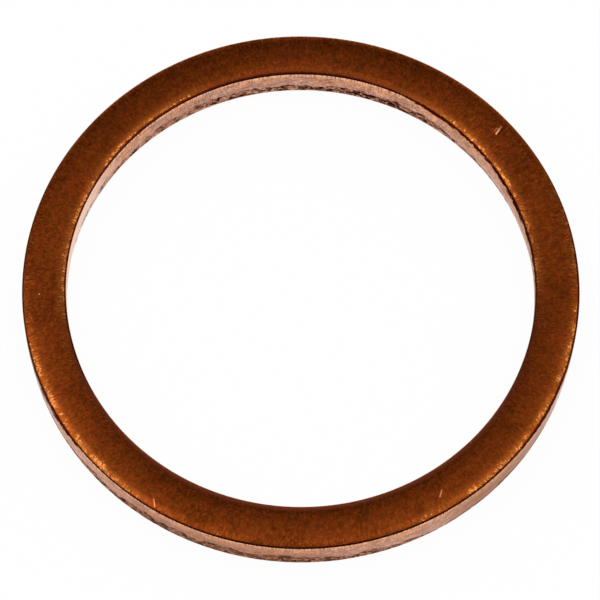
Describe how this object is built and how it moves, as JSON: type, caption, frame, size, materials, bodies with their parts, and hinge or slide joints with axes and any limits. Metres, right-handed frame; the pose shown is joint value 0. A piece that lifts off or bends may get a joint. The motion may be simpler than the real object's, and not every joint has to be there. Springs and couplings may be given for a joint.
{
  "type": "oil drain plug sealing ring",
  "caption": "Flat stamped copper ring that seals a screwed drain plug, with rolled top edges and smooth sheared walls that are torn near the underside.",
  "frame": {"origin": "centre of the underside, on the ring's axis", "axes": "+Z along the ring's axis, from the sheared underside to the face with the rolled edges; +X and +Y lie in the underside"},
  "size_m": [0.024, 0.024, 0.002],
  "materials": {
    "copper": "tarnished satin copper faces with brighter sheared walls"
  },
  "bodies": {
    "root": {"sealing_ring": "copper"}
  },
  "joints": []
}
